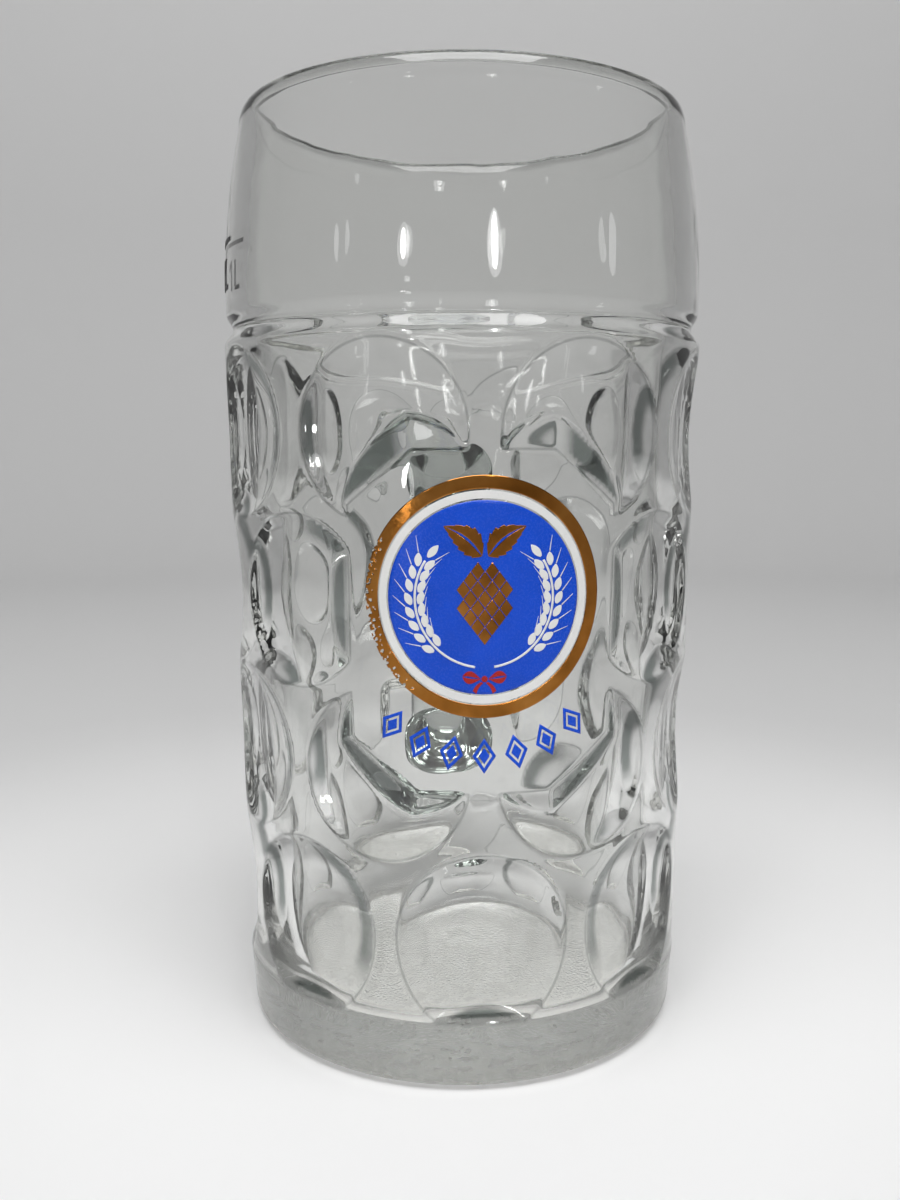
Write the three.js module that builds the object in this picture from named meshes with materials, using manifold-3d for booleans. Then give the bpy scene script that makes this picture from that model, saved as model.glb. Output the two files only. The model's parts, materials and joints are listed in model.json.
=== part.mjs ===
// A one-litre dimpled glass beer mug: the pressed body, the handle fused on behind it, and
// the thin fired colour layers of the front print and of the fill mark.
// Millimetres, +Z up. The body's axis is Z and its foot stands on z = 0. The print panel
// faces -Y and the handle is on the +Y side. Azimuths are measured from -Y towards +X.
import * as THREE from 'three';
import { mergeVertices } from 'three/addons/utils/BufferGeometryUtils.js';
import Module from 'manifold-3d';

// Outside of the body
const mugHeight = 199;
const footRadius = 49.5; // wall at the top of the plain foot
const footHeight = 13.6;
const heelInset = 0.6; // the foot draws in by this much towards the heel
const heelRound = 3;
const shoulderRadius = 52.3; // wall just under the groove
const bandHeight = 46.2; // bottom of the groove to the rim
const grooveDepth = 1.6;
const grooveHalfWidth = 3.4;
const bandRadius = 51.9; // widest place of the drinking band
const bandBellyRise = 8; // that place above the groove
const bandDrawIn = 3.6; // how far the band leans in between there and the lip
const lipThickness = 4.4;
const lipHeight = 4.6; // height of the rounded lip

// Inside of the body
const bodyWall = 6.6; // thickness between the dimples
const bandWall = 5;
const floorThickness = 10.2;
const floorRound = 6.2;

// Dimples and print panel
const dimpleRows = 4;
const dimplesPerRow = 8;
const dimpleRadius = 17.3;
const dimpleDepth = 3.6;
const dimpleFullness = 3; // power of the bowl, 2 is a paraboloid
const rowMargin = 1.2; // plain wall above the top row and below the bottom one
const panelSlope = 0.52; // fall of the facets by which the panel cuts its neighbours off
const panelSideMargin = 3.6; // emblem's edge to the panel's edge
const panelTopMargin = 4.7;
const panelBottomMargin = 4.1; // lozenges' lower edge to the panel's edge
const panelLean = 38; // degrees, the four slanting edges above level
const panelSlantReach = 34.1; // the panel's middle to those edges

// Handle
const upperRootDrop = 29; // groove's lower edge to the middle of the upper root
const lowerRootRise = 34; // top of the foot to the middle of the lower root
const handleReach = 54; // body to the outside of the grip
const handleCorner = 26; // length of each rounded corner along its sides
const gripLean = 7; // the lower corner stands in by this much
const upperRise = 10; // the upper corner stands above its root
const lowerDrop = 7; // the lower corner stands below its root
const gripWidth = 21;
const gripThickness = 14;
const rootFlare = 5; // the roots are this much wider and thicker
const flareLength = 9;
const handleSquareness = 2.5;
const padMargin = 5; // plain wall left round a root
const padFade = 5; // length over which the dimples come back
const seatClearance = 0.3;

// Fired colour layers
const inkGap = 0.3;
const inkThickness = 0.3;
const emblemDrop = 49.4; // groove's lower edge to the emblem's centre
const emblemRadius = 23;
const goldRingWidth = 2.5;
const whiteRingWidth = 1.5;
const inkSpacing = 0.3; // bare glass between two colours of one layer
const wreathRadius = 13.2;
const wreathStart = 8; // degrees from straight down to the foot of each ear
const wreathSweep = 118; // degrees round the wreath
const earWidth = 4.6;
const earGrains = 7;
const grainSwell = 0.25; // share of the ear's width by which its edge waves
const stemWidth = 0.9;
const stemShare = 0.3; // part of the sweep that is bare stem
const coneWidth = 11;
const coneHeight = 15.5;
const coneCentreRise = -1;
const coneScales = 10;
const coneScallop = 0.1; // share of the cone's size by which its edge waves
const coneTaper = 0.2; // the cone is this much wider above and narrower below
const leafLength = 8.5;
const leafWidth = 4.4;
const leafTipWidth = 0.45;
const leafFullness = 0.8; // below 1 the leaf is widest near its foot
const leafAngle = 33; // degrees above level
const leafGap = 0.6;
const ribbonLength = 8;
const ribbonWidth = 2.6;
const ribbonKnotWidth = 1.1;
const lozengeCount = 7;
const lozengeWidth = 4.6;
const lozengeHeight = 7;
const lozengeGap = 4; // emblem's edge to the lozenges
const lozengePitch = 12; // degrees between neighbours
const markAzimuth = -80; // degrees, the fill mark's place on the drinking band
const fillLineDrop = 28.4; // rim to the line, one litre stands below it
const fillLineLength = 14;
const fillLineWidth = 0.9;
const markDrop = 3; // fill line to the top of the figures
const figureHeight = 6.5;
const figureStroke = 1;
const figureFoot = 3.4;
const figureFlag = 1.5;
const figureSpacing = 2.2;

// Mesh counts
const bodyColumns = 96;
const dimpleZoneSteps = 34;
const roundSteps = 3;
const lipSteps = 6;
const bandSteps = 4;
const innerSteps = 4;
const handleSteps = 26;
const handleSides = 14;
const discColumns = 40;
const discRows = 4;
const stripSteps = 14;
const stepsPerGrain = 4;
const mergeDistance = 1e-3;

// Heights and angles that follow from the sizes
const grooveHeight = mugHeight - bandHeight;
const shoulderHeight = grooveHeight - grooveHalfWidth;
const bandStart = grooveHeight + grooveHalfWidth;
const bandBelly = grooveHeight + bandBellyRise;
const lipStart = mugHeight - lipHeight;
const dimpleAngle = (2 * Math.PI) / dimplesPerRow;
const lowestRow = footHeight + rowMargin + dimpleRadius;
const rowPitch = (shoulderHeight - rowMargin - dimpleRadius - lowestRow) / (dimpleRows - 1);
const upperRootHeight = shoulderHeight - upperRootDrop;
const lowerRootHeight = footHeight + lowerRootRise;
const fillLineHeight = mugHeight - fillLineDrop;
const emblemCentreHeight = shoulderHeight - emblemDrop;
const lozengeArcRadius = emblemRadius + lozengeGap + lozengeHeight / 2;
const printBottom = emblemCentreHeight - lozengeArcRadius - lozengeHeight / 2;
const panelTop = emblemCentreHeight + emblemRadius + panelTopMargin;
const panelBottom = printBottom - panelBottomMargin;
const panelHalfHeight = (panelTop - panelBottom) / 2;
const panelCentreHeight = (panelTop + panelBottom) / 2;
const panelHalfWidth = emblemRadius + panelSideMargin;
const degrees = Math.PI / 180;

const smooth = (value) => THREE.MathUtils.smoothstep(value, 0, 1);
const mix = THREE.MathUtils.lerp;

// Wall radius of the dimpled zone before anything is pressed into it
function landRadius(z) {
  return mix(footRadius, shoulderRadius, (z - footHeight) / (shoulderHeight - footHeight));
}

// Outside of the drinking band: a parabola about its widest place
function bandRadiusAt(z) {
  const lean = (z - bandBelly) / (lipStart - bandBelly);
  return bandRadius - bandDrawIn * lean * lean;
}

// Depth of the round dimples: rows of bowls, each row half a pitch round from the last
function dimpleDepthAt(azimuth, z) {
  let deepest = 0;
  for (let row = 0; row < dimpleRows; row++) {
    const turn = row % 2 === 0 ? 0 : dimpleAngle / 2;
    const centre = Math.round((azimuth - turn) / dimpleAngle) * dimpleAngle + turn;
    const across = ((azimuth - centre) * landRadius(z)) / dimpleRadius;
    const up = (z - lowestRow - row * rowPitch) / dimpleRadius;
    const fromMiddle = Math.hypot(across, up);
    deepest = Math.max(deepest, dimpleDepth * (1 - Math.pow(fromMiddle, dimpleFullness)));
  }
  return deepest;
}

// How far outside the panel's outline a point lies, 0 on the panel. The outline has two
// upright edges, two level ones and four that slant between them.
function outsidePanel(azimuth, z) {
  const across = Math.abs(azimuth) * landRadius(panelCentreHeight);
  const up = Math.abs(z - panelCentreHeight);
  const lean = panelLean * degrees;
  const slant = across * Math.sin(lean) + up * Math.cos(lean) - panelSlantReach;
  return Math.max(0, across - panelHalfWidth, up - panelHalfHeight, slant);
}

// 0 on the plain pads that carry the handle's roots, 1 away from them
function padOpenness(azimuth, z) {
  const across = (Math.PI - Math.abs(azimuth)) * landRadius(z);
  const halfWidth = gripWidth / 2 + rootFlare / 2 + padMargin;
  const halfHeight = gripThickness / 2 + rootFlare / 2 + padMargin;
  let openness = 1;
  for (const rootHeight of [upperRootHeight, lowerRootHeight]) {
    const beside = Math.max(0, across - halfWidth);
    const above = Math.max(0, Math.abs(z - rootHeight) - halfHeight);
    openness = Math.min(openness, smooth(Math.hypot(beside, above) / padFade));
  }
  return openness;
}

// How deep the wall is pressed in at one point. The print panel is the plain wall itself, and
// the dimples round it end in facets that rise to it.
function pressedDepth(azimuth, z) {
  const dimple = dimpleDepthAt(azimuth, z) * padOpenness(azimuth, z);
  return Math.min(dimple, panelSlope * outsidePanel(azimuth, z));
}

// Body

// Profile from the middle of the underside, up the outside, over the lip and down the inside
function bodyProfile() {
  const points = [new THREE.Vector2(0, 0)];
  const add = (radius, z) => points.push(new THREE.Vector2(radius, z));
  const heelRadius = footRadius - heelInset;
  for (let i = 0; i <= roundSteps; i++) {
    const turn = (i / roundSteps) * (Math.PI / 2);
    add(heelRadius - heelRound * (1 - Math.sin(turn)), heelRound * (1 - Math.cos(turn)));
  }
  const zoneStart = points.length;
  for (let i = 0; i <= dimpleZoneSteps; i++) {
    const z = mix(footHeight, shoulderHeight, i / dimpleZoneSteps);
    add(landRadius(z), z);
  }
  const zoneEnd = points.length;
  for (let i = 1; i < 2 * roundSteps; i++) {
    const share = i / roundSteps - 1;
    const wall = mix(shoulderRadius, bandRadiusAt(bandStart), (share + 1) / 2);
    const cut = (grooveDepth * (1 + Math.cos(share * Math.PI))) / 2;
    add(wall - cut, grooveHeight + share * grooveHalfWidth);
  }
  for (let i = 0; i < bandSteps; i++) {
    const z = mix(bandStart, lipStart, i / bandSteps);
    add(bandRadiusAt(z), z);
  }
  const lipCrest = bandRadiusAt(lipStart) - lipThickness / 2;
  for (let i = 0; i <= lipSteps; i++) {
    const turn = (i / lipSteps) * Math.PI;
    add(lipCrest + (lipThickness / 2) * Math.cos(turn), lipStart + lipHeight * Math.sin(turn));
  }
  const bellyInside = bandRadius - bandWall;
  const lipInside = bandRadiusAt(lipStart) - lipThickness;
  for (let i = 1; i <= innerSteps; i++) {
    const share = i / innerSteps;
    add(mix(lipInside, bellyInside, Math.sin((share * Math.PI) / 2)), mix(lipStart, bandBelly, share));
  }
  const cornerTop = floorThickness + floorRound;
  add(landRadius(shoulderHeight) - bodyWall, shoulderHeight);
  const floorWall = landRadius(cornerTop) - bodyWall;
  for (let i = 0; i <= roundSteps; i++) {
    const turn = (i / roundSteps) * (Math.PI / 2);
    add(floorWall - floorRound * (1 - Math.cos(turn)), cornerTop - floorRound * Math.sin(turn));
  }
  add(0, floorThickness);
  return { points, zoneStart, zoneEnd };
}

function makeBody() {
  const { points, zoneStart, zoneEnd } = bodyProfile();
  const geometry = new THREE.LatheGeometry(points, bodyColumns);
  geometry.rotateX(Math.PI / 2);
  const position = geometry.attributes.position;
  for (let i = 0; i < position.count; i++) {
    const row = i % points.length;
    if (row >= zoneStart && row < zoneEnd) {
      const x = position.getX(i);
      const y = position.getY(i);
      const z = position.getZ(i);
      const radius = Math.hypot(x, y);
      const pressed = (radius - pressedDepth(Math.atan2(x, -y), z)) / radius;
      position.setXYZ(i, x * pressed, y * pressed, z);
    }
  }
  return closedGeometry(geometry);
}

// Merges shared vertices and drops triangles that have no area
function closedGeometry(geometry) {
  geometry.deleteAttribute('normal');
  geometry.deleteAttribute('uv');
  const merged = mergeVertices(geometry, mergeDistance);
  const kept = [];
  for (let i = 0; i < merged.index.count; i += 3) {
    const corners = [merged.index.getX(i), merged.index.getX(i + 1), merged.index.getX(i + 2)];
    if (new Set(corners).size === 3) {
      kept.push(...corners);
    }
  }
  merged.setIndex(kept);
  merged.computeVertexNormals();
  return merged;
}

// Handle

const wasm = await Module();
wasm.setup();

function toSolid(geometry) {
  return new wasm.Manifold(new wasm.Mesh({
    numProp: 3,
    vertProperties: geometry.attributes.position.array,
    triVerts: new Uint32Array(geometry.index.array),
  }));
}

function toGeometry(solid) {
  const mesh = solid.getMesh();
  const geometry = new THREE.BufferGeometry();
  geometry.setAttribute('position', new THREE.BufferAttribute(mesh.vertProperties, mesh.numProp));
  geometry.setIndex(new THREE.BufferAttribute(mesh.triVerts, 1));
  return closedGeometry(geometry);
}

// Middle line of the handle: out of the upper root, down the grip and back to the lower root
function handlePath() {
  const upperSeat = landRadius(upperRootHeight);
  const gripY = upperSeat + handleReach - gripThickness / 2;
  const insideY = upperSeat - bodyWall / 2;
  const upperRoot = new THREE.Vector3(0, insideY, upperRootHeight);
  const upperCorner = new THREE.Vector3(0, gripY, upperRootHeight + upperRise);
  const lowerCorner = new THREE.Vector3(0, gripY - gripLean, lowerRootHeight - lowerDrop);
  const lowerRoot = new THREE.Vector3(0, insideY, lowerRootHeight);
  const towards = (from, to) => from.clone().add(to.clone().sub(from).setLength(handleCorner));
  const path = new THREE.CurvePath();
  const stops = [upperRoot, upperCorner, lowerCorner, lowerRoot];
  let last = upperRoot;
  for (const at of [1, 2]) {
    const cornerStart = towards(stops[at], stops[at - 1]);
    const cornerEnd = towards(stops[at], stops[at + 1]);
    path.add(new THREE.LineCurve3(last, cornerStart));
    path.add(new THREE.QuadraticBezierCurve3(cornerStart, stops[at], cornerEnd));
    last = cornerEnd;
  }
  path.add(new THREE.LineCurve3(last, lowerRoot));
  return path;
}

// A bar of rounded-square section along the middle line, flared where it meets the body
function handleBar() {
  const path = handlePath();
  const length = path.getLength();
  const centres = path.getSpacedPoints(handleSteps);
  const positions = [];
  const indices = [];
  const round = (value) => Math.sign(value) * Math.pow(Math.abs(value), 2 / handleSquareness);
  centres.forEach((centre, i) => {
    const before = centres[Math.max(i - 1, 0)];
    const after = centres[Math.min(i + 1, handleSteps)];
    const along = after.clone().sub(before).normalize();
    const outward = new THREE.Vector3(0, along.z, -along.y);
    const fromRoot = (Math.min(i, handleSteps - i) / handleSteps) * length;
    const flare = rootFlare * Math.exp(-fromRoot / flareLength);
    for (let side = 0; side < handleSides; side++) {
      const turn = (side / handleSides) * 2 * Math.PI;
      const across = ((gripWidth + flare) / 2) * round(Math.cos(turn));
      const deep = ((gripThickness + flare) / 2) * round(Math.sin(turn));
      positions.push(across, centre.y + outward.y * deep, centre.z + outward.z * deep);
    }
  });
  for (let i = 0; i < handleSteps; i++) {
    for (let side = 0; side < handleSides; side++) {
      const a = i * handleSides + side;
      const b = i * handleSides + ((side + 1) % handleSides);
      indices.push(a, b, a + handleSides, b, b + handleSides, a + handleSides);
    }
  }
  const lastRing = handleSteps * handleSides;
  for (let side = 1; side < handleSides - 1; side++) {
    indices.push(0, side + 1, side);
    indices.push(lastRing, lastRing + side, lastRing + side + 1);
  }
  const geometry = new THREE.BufferGeometry();
  geometry.setAttribute('position', new THREE.Float32BufferAttribute(positions, 3));
  geometry.setIndex(indices);
  return closedGeometry(geometry);
}

// The bar is trimmed to the wall that it is fused to, a clearance away from it
function makeHandle() {
  const wall = new THREE.LatheGeometry([
    new THREE.Vector2(0, 0),
    new THREE.Vector2(landRadius(0) + seatClearance, 0),
    new THREE.Vector2(landRadius(mugHeight) + seatClearance, mugHeight),
    new THREE.Vector2(0, mugHeight),
  ], bodyColumns);
  wall.rotateX(Math.PI / 2);
  return toGeometry(toSolid(handleBar()).subtract(toSolid(closedGeometry(wall))));
}

// Colour layers

const panelSeat = {
  azimuth: 0,
  height: emblemCentreHeight,
  radiusAt: landRadius,
  lift: inkGap,
};
const motifSeat = { ...panelSeat, lift: 2 * inkGap + inkThickness };
const markSeat = {
  azimuth: markAzimuth * degrees,
  height: fillLineHeight,
  radiusAt: bandRadiusAt,
  lift: inkGap,
};

// A thin plate that follows a round wall. place(u, v) gives a point of the plate as
// millimetres across and up from its seat's centre, turning left from u to v.
function plate(seat, columns, rows, closed, place) {
  const positions = [];
  const indices = [];
  const seatRadius = seat.radiusAt(seat.height);
  for (const lift of [seat.lift, seat.lift + inkThickness]) {
    for (let i = 0; i <= columns; i++) {
      for (let j = 0; j <= rows; j++) {
        const [across, up] = place(i / columns, j / rows);
        const z = seat.height + up;
        const radius = seat.radiusAt(z) + lift;
        const azimuth = seat.azimuth + across / seatRadius;
        positions.push(radius * Math.sin(azimuth), -radius * Math.cos(azimuth), z);
      }
    }
  }
  const layer = (columns + 1) * (rows + 1);
  const at = (i, j) => i * (rows + 1) + j;
  const quad = (a, b, c, d) => indices.push(a, b, c, a, c, d);
  for (let i = 0; i < columns; i++) {
    for (let j = 0; j < rows; j++) {
      const corners = [at(i, j), at(i + 1, j), at(i + 1, j + 1), at(i, j + 1)];
      quad(...corners.map((corner) => corner + layer));
      quad(...corners.reverse());
    }
    quad(at(i, 0), at(i + 1, 0), at(i + 1, 0) + layer, at(i, 0) + layer);
    quad(at(i + 1, rows), at(i, rows), at(i, rows) + layer, at(i + 1, rows) + layer);
  }
  for (let j = 0; j < rows && !closed; j++) {
    quad(at(0, j + 1), at(0, j), at(0, j) + layer, at(0, j + 1) + layer);
    quad(at(columns, j), at(columns, j + 1), at(columns, j + 1) + layer, at(columns, j) + layer);
  }
  const geometry = new THREE.BufferGeometry();
  geometry.setAttribute('position', new THREE.Float32BufferAttribute(positions, 3));
  geometry.setIndex(indices);
  return closedGeometry(geometry);
}

// A round plate or ring between two radii
function disc(seat, rows, innerRadius, outerRadius) {
  return plate(seat, discColumns, rows, true, (u, v) => {
    const turn = -2 * Math.PI * u;
    const radius = mix(innerRadius, outerRadius, v);
    return [radius * Math.cos(turn), radius * Math.sin(turn)];
  });
}

// A strip between two edges, lists of points to the right and to the left of its middle line
function strip(seat, rightEdge, leftEdge) {
  const columns = rightEdge.length - 1;
  return plate(seat, columns, 1, false, (u, v) => {
    const station = Math.round(u * columns);
    return v === 0 ? rightEdge[station] : leftEdge[station];
  });
}

// An ear of grain: a bare stem and then a row of swellings, along an arc of the wreath
function barleyEar(side) {
  const inner = [];
  const outer = [];
  const steps = earGrains * stepsPerGrain;
  for (let i = 0; i <= steps; i++) {
    const share = i / steps;
    const turn = (-90 + side * (wreathStart + wreathSweep * share)) * degrees;
    const ear = Math.max(0, (share - stemShare) / (1 - stemShare));
    const grain = 1 - grainSwell + grainSwell * Math.cos(ear * earGrains * 2 * Math.PI);
    const swell = Math.sqrt(Math.max(0, Math.sin(Math.PI * ear)));
    const width = stemWidth + (earWidth - stemWidth) * swell * grain;
    for (const [edge, offset] of [[inner, -width / 2], [outer, width / 2]]) {
      const radius = wreathRadius + offset;
      edge.push([radius * Math.cos(turn), radius * Math.sin(turn)]);
    }
  }
  return side > 0 ? strip(motifSeat, outer, inner) : strip(motifSeat, inner, outer);
}

// A hop cone: an oval, drawn out below, with a scale at every swelling of its edge
function hopCone() {
  return plate(motifSeat, discColumns, 2, true, (u, v) => {
    const turn = -2 * Math.PI * u;
    const scale = v * (1 + coneScallop * Math.cos(turn * coneScales));
    const drawn = 1 + coneTaper * Math.sin(turn);
    return [
      (coneWidth / 2) * scale * drawn * Math.cos(turn),
      coneCentreRise + (coneHeight / 2) * scale * Math.sin(turn),
    ];
  });
}

// A pointed leaf that rises from the top of the cone to one side
function hopLeaf(side) {
  const lower = [];
  const upper = [];
  const rise = Math.sin(leafAngle * degrees);
  const run = Math.cos(leafAngle * degrees);
  const foot = coneCentreRise + coneHeight / 2 + leafGap;
  for (let i = 0; i <= stripSteps; i++) {
    const share = i / stripSteps;
    const swell = Math.sin(Math.PI * Math.pow(share, leafFullness));
    const half = (leafWidth * swell + leafTipWidth) / 2;
    const along = leafGap + leafLength * share;
    lower.push([side * (along * run + half * rise), foot + along * rise - half * run + leafWidth / 2]);
    upper.push([side * (along * run - half * rise), foot + along * rise + half * run + leafWidth / 2]);
  }
  return side > 0 ? strip(motifSeat, lower, upper) : strip(motifSeat, upper, lower);
}

// A small bow under the crossing of the stems
function ribbonBow() {
  const middle = -wreathRadius - earWidth / 2;
  const lower = [];
  const upper = [];
  for (let i = 0; i <= stripSteps; i++) {
    const share = (2 * i) / stripSteps - 1;
    const half = mix(ribbonKnotWidth, ribbonWidth, Math.abs(share)) / 2;
    lower.push([(ribbonLength / 2) * share, middle - half]);
    upper.push([(ribbonLength / 2) * share, middle + half]);
  }
  return strip(motifSeat, lower, upper);
}

// One lozenge of the arc under the emblem, its long axis towards the emblem's centre
function lozenge(index) {
  const turn = (-90 + (index - (lozengeCount - 1) / 2) * lozengePitch) * degrees;
  const outward = [Math.cos(turn), Math.sin(turn)];
  return plate(panelSeat, 4, 1, true, (u, v) => {
    const corner = -2 * Math.PI * u;
    const along = lozengeArcRadius + v * (lozengeHeight / 2) * Math.cos(corner);
    const beside = v * (lozengeWidth / 2) * Math.sin(corner);
    return [
      along * outward[0] - beside * outward[1],
      along * outward[1] + beside * outward[0],
    ];
  });
}

function fillLine() {
  return plate(markSeat, stripSteps, 1, false, (u, v) => [
    (u - 0.5) * fillLineLength,
    (v - 0.5) * fillLineWidth,
  ]);
}

const figureTop = -fillLineWidth / 2 - markDrop;
const figureBase = figureTop - figureHeight;

// The figure 1: a flag and an upright
function volumeNumeral() {
  const right = -figureSpacing / 2;
  const left = right - figureStroke;
  return strip(markSeat, [
    [left - figureFlag, figureTop - figureFlag - figureStroke],
    [left, figureTop - figureStroke],
    [left, figureBase],
  ], [
    [left - figureFlag, figureTop - figureFlag],
    [right, figureTop],
    [right, figureBase],
  ]);
}

// The letter L of the litre: an upright and a foot
function volumeUnit() {
  const left = figureSpacing / 2;
  return strip(markSeat, [
    [left, figureTop],
    [left, figureBase],
    [left + figureFoot, figureBase],
  ], [
    [left + figureStroke, figureTop],
    [left + figureStroke, figureBase + figureStroke],
    [left + figureFoot, figureBase + figureStroke],
  ]);
}

// Materials and assembly

const finishes = {
  glass: { color: 0xdfe6e2, roughness: 0.03, metalness: 0, transparent: true, opacity: 0.4 },
  gold: { color: 0xa8701c, roughness: 0.18, metalness: 1 },
  white: { color: 0xd6d7d6, roughness: 0.35, metalness: 0 },
  blue: { color: 0x1652cd, roughness: 0.35, metalness: 0 },
  red: { color: 0xb3221c, roughness: 0.35, metalness: 0 },
  black: { color: 0x1c1c1e, roughness: 0.4, metalness: 0 },
};

const mug = new THREE.Group();

function addPiece(name, finish, geometry) {
  const mesh = new THREE.Mesh(geometry, new THREE.MeshStandardMaterial(finishes[finish]));
  mesh.name = name;
  mug.add(mesh);
}

const goldInside = emblemRadius - goldRingWidth;
const whiteOutside = goldInside - inkSpacing;
const whiteInside = whiteOutside - whiteRingWidth;

addPiece('glass_body', 'glass', makeBody());
addPiece('handle', 'glass', makeHandle());
addPiece('emblem_gold_border', 'gold', disc(panelSeat, 1, goldInside, emblemRadius));
addPiece('emblem_white_ring', 'white', disc(panelSeat, 1, whiteInside, whiteOutside));
addPiece('emblem_blue_field', 'blue', disc(panelSeat, discRows, 0, whiteInside - inkSpacing));
addPiece('emblem_hop_cone', 'gold', hopCone());
addPiece('emblem_hop_leaf_left', 'gold', hopLeaf(-1));
addPiece('emblem_hop_leaf_right', 'gold', hopLeaf(1));
addPiece('emblem_barley_left', 'white', barleyEar(-1));
addPiece('emblem_barley_right', 'white', barleyEar(1));
addPiece('emblem_ribbon', 'red', ribbonBow());
for (let i = 0; i < lozengeCount; i++) {
  addPiece(`lozenge_${i + 1}`, 'blue', lozenge(i));
}
addPiece('fill_line', 'black', fillLine());
addPiece('volume_numeral', 'black', volumeNumeral());
addPiece('volume_unit', 'black', volumeUnit());

export default mug;
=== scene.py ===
# A dimpled one-litre glass beer mug: pressed body, fused handle and fired colour print.
# Settings are in millimetres and degrees, meshes in metres. Azimuths run from -Y towards +X.
import json
import math

import bmesh
import bpy
import numpy as np
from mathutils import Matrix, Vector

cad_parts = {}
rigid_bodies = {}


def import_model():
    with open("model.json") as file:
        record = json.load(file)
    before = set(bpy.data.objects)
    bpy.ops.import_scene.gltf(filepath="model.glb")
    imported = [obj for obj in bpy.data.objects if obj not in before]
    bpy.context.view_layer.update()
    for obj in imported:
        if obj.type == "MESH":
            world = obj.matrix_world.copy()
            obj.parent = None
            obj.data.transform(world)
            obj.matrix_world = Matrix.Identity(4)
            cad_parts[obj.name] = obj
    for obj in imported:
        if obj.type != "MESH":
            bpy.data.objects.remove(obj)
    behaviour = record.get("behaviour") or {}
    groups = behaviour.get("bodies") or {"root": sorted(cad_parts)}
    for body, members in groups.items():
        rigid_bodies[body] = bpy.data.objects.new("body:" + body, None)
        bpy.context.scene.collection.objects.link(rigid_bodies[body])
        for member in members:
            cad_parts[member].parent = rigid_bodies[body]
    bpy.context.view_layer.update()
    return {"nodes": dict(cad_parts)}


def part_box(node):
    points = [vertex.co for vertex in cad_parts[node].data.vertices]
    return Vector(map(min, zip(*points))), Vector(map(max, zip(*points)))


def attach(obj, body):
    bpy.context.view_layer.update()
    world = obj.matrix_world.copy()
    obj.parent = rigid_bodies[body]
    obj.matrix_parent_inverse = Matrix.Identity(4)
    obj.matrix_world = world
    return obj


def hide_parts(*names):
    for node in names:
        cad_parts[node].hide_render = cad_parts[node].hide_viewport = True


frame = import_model()
mm = 0.001
bodyLow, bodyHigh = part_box("glass_body")
emblemLow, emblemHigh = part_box("emblem_gold_border")
print("frame loaded:", len(frame["nodes"]), "nodes")


# Camera, at the photograph's place: a little left of the print and below the rim
view = {
    "distance": 266.2,
    "azimuth": -4.8,
    "height": 128.9,
    "pitch": -7.73,
    "lens": 34.8,
    "sensor": 36.0,
    "shift": -0.01,
}


def placeCamera():
    data = bpy.data.cameras.new("photoCamera")
    data.lens = view["lens"]
    data.sensor_width = view["sensor"]
    data.sensor_fit = "AUTO"
    data.shift_x = view["shift"]
    data.clip_start = 0.01
    data.clip_end = 50
    camera = bpy.data.objects.new("photoCamera", data)
    turn = math.radians(view["azimuth"])
    camera.location = (
        view["distance"] * mm * math.sin(turn),
        -view["distance"] * mm * math.cos(turn),
        view["height"] * mm,
    )
    camera.rotation_euler = (math.radians(90 + view["pitch"]), 0, turn)
    bpy.context.scene.collection.objects.link(camera)
    bpy.context.scene.camera = camera


placeCamera()
print("camera placed")


# Shared shape helpers

def smoothStep(value):
    share = np.clip(value, 0, 1)
    return share * share * (3 - 2 * share)


# Rounded max(0, value): a hyperbola that leaves the two straight lines over the given rounding
def softPositive(value, rounding):
    return (value + np.sqrt(value * value + rounding * rounding)) / 2


def mix(a, b, share):
    return a + (b - a) * share


# Faces of a grid of points, rows by columns, column 0 joined to the last one where it wraps
def gridFaces(rows, columns, wrap, first=0):
    index = first + np.arange(rows * columns).reshape(rows, columns)
    right = np.roll(index, -1, axis=1) if wrap else index[:, 1:]
    left = index if wrap else index[:, :-1]
    quads = np.stack([left[:-1], right[:-1], right[1:], left[1:]], axis=-1)
    return quads.reshape(-1, 4)


# The same for a closed tube: its first and last rows are fanned to two poles, which come after them
def tubeFaces(rows, columns):
    ring = np.arange(columns)
    last = (rows - 1) * columns + ring
    startPole, endPole = (np.full(columns, rows * columns + k) for k in range(2))
    start = np.stack([startPole, np.roll(ring, -1), ring], axis=-1)
    end = np.stack([endPole, last, np.roll(last, -1)], axis=-1)
    return gridFaces(rows, columns, True).tolist() + start.tolist() + end.tolist()


# A mesh object from points in millimetres, with its faces smooth and its doubles merged
def addMesh(name, points, faces, sharpAngle=None):
    mesh = bpy.data.meshes.new(name)
    mesh.from_pydata((np.asarray(points).reshape(-1, 3) * mm).tolist(), [], faces)
    work = bmesh.new()
    work.from_mesh(mesh)
    bmesh.ops.remove_doubles(work, verts=work.verts, dist=1e-7)
    work.to_mesh(mesh)
    work.free()
    mesh.polygons.foreach_set("use_smooth", np.ones(len(mesh.polygons), dtype=bool))
    if sharpAngle:
        mesh.set_sharp_from_angle(angle=math.radians(sharpAngle))
    mesh.update()
    piece = bpy.data.objects.new(name, mesh)
    bpy.context.scene.collection.objects.link(piece)
    return piece


# The points of a finished mesh, in millimetres
def meshPoints(piece):
    place = np.zeros(len(piece.data.vertices) * 3)
    piece.data.vertices.foreach_get("co", place)
    return place.reshape(-1, 3) / mm


# Keeps a value for each point of a mesh, for its material to read
def storeValues(piece, **values):
    for name, value in values.items():
        piece.data.attributes.new(name, "FLOAT", "POINT").data.foreach_set("value", value)


# Gives a piece its finish, hangs it on the root body and hides the CAD node that it stands for
def settle(piece, material, node):
    piece.data.materials.append(material)
    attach(piece, "root")
    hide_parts(node)
    return piece


# Shader helpers

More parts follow.
